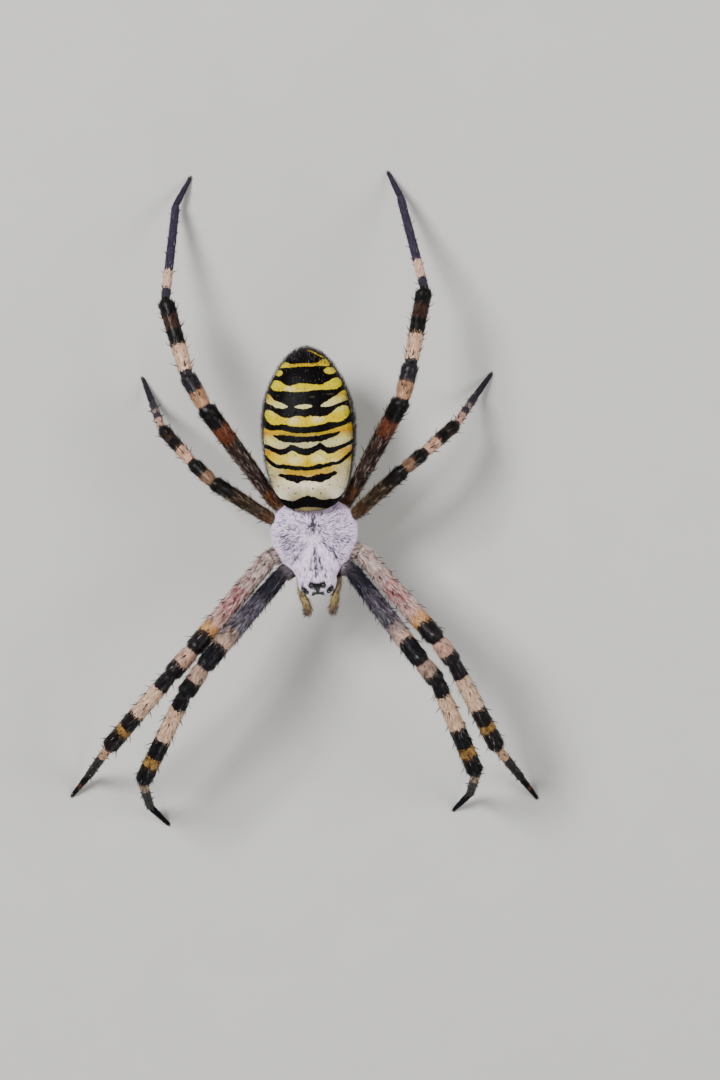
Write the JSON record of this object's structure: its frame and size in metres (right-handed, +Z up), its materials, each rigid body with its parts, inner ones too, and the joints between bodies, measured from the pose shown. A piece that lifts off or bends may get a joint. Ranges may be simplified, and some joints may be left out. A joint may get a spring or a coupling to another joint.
{
  "type": "spider model",
  "caption": "Still, life-size garden spider standing on eight slender banded legs, with a silvery shield and an oval yellow abdomen crossed by black bands.",
  "frame": {"origin": "centre of the bounding box on the plane that the eight feet stand on", "axes": "+Y from the head towards the tail, +Z up, +X towards the spider's left side as it stands facing -Y"},
  "size_m": [0.0312, 0.0438, 0.0123],
  "materials": {
    "shield": "hard dark shell under flat silver-white hair",
    "abdomen": "thin smooth skin, bright yellow and cream with black cross bands",
    "dark": "near-black shell, faint satin sheen",
    "rose": "rose-pink shell with pale hair and dark dots",
    "banded": "shell ringed black and cream, satin",
    "brown": "brown shell, fine pale hairs, satin",
    "slate": "slate-black shell with grey hair, satin",
    "amber": "amber translucent shell, satin",
    "eye": "black, glassy and wet-looking"
  },
  "bodies": {
    "root": {"abdomen": "abdomen", "cephalothorax": "shield", "chelicera_left": "amber", "chelicera_right": "amber", "eye_front_middle_left": "eye", "eye_front_middle_right": "eye", "eye_front_side_left": "eye", "eye_front_side_right": "eye", "eye_rear_middle_left": "eye", "eye_rear_middle_right": "eye", "eye_rear_side_left": "eye", "eye_rear_side_right": "eye", "leg_left_1_femur": "slate", "leg_left_1_metatarsus": "slate", "leg_left_1_patella": "banded", "leg_left_1_tarsus": "dark", "leg_left_1_tibia": "banded", "leg_left_2_femur": "rose", "leg_left_2_metatarsus": "slate", "leg_left_2_patella": "banded", "leg_left_2_tarsus": "dark", "leg_left_2_tibia": "banded", "leg_left_3_femur": "brown", "leg_left_3_metatarsus": "slate", "leg_left_3_patella": "banded", "leg_left_3_tarsus": "dark", "leg_left_3_tibia": "banded", "leg_left_4_femur": "brown", "leg_left_4_metatarsus": "slate", "leg_left_4_patella": "banded", "leg_left_4_tarsus": "dark", "leg_left_4_tibia": "banded", "leg_right_1_femur": "slate", "leg_right_1_metatarsus": "slate", "leg_right_1_patella": "banded", "leg_right_1_tarsus": "dark", "leg_right_1_tibia": "banded", "leg_right_2_femur": "rose", "leg_right_2_metatarsus": "slate", "leg_right_2_patella": "banded", "leg_right_2_tarsus": "dark", "leg_right_2_tibia": "banded", "leg_right_3_femur": "brown", "leg_right_3_metatarsus": "slate", "leg_right_3_patella": "banded", "leg_right_3_tarsus": "dark", "leg_right_3_tibia": "banded", "leg_right_4_femur": "brown", "leg_right_4_metatarsus": "slate", "leg_right_4_patella": "banded", "leg_right_4_tarsus": "dark", "leg_right_4_tibia": "banded", "palp_femur_left": "amber", "palp_femur_right": "amber", "palp_tarsus_left": "amber", "palp_tarsus_right": "amber", "palp_tibia_left": "amber", "palp_tibia_right": "amber", "spinnerets": "brown"}
  },
  "joints": []
}
